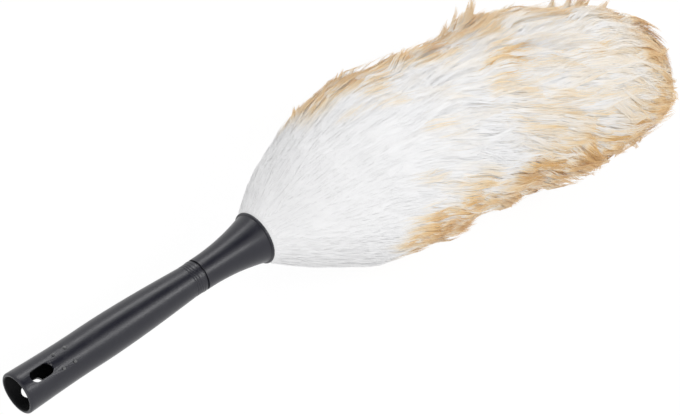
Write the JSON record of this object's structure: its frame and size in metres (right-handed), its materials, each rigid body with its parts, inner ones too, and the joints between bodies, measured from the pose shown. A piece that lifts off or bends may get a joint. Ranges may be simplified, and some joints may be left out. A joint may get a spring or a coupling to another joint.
{
  "type": "lambswool duster",
  "caption": "Hand duster: hollow black plastic handle with a hanging slot and pole socket, flared neck, and a long head of combed white lambswool with tan tips.",
  "frame": {"origin": "centre of the face inside the handle where an extension pole stops", "axes": "+X along the handle from its open mouth to the tip of the wool, +Z through the hanging slot's nearer wall, +Y across the handle"},
  "size_m": [0.6115, 0.1691, 0.1375],
  "materials": {
    "black_plastic": "satin",
    "natural_plastic": "satin",
    "zinc_steel": "satin",
    "sheepskin": "matte",
    "lambswool": "matte"
  },
  "bodies": {
    "grip": {"grip_tube": "black_plastic"},
    "head": {"flared_neck": "black_plastic", "core_rod": "natural_plastic", "core_screw": "zinc_steel", "core_washer": "zinc_steel", "hide_strip": "sheepskin", "base_tack": "zinc_steel", "tip_tack": "zinc_steel", "fleece": "lambswool"}
  },
  "joints": [
    {"name": "head_release", "type": "slide", "parent": "grip", "child": "head", "axis": [1, 0, 0], "range_m": [0, 0.045]}
  ]
}
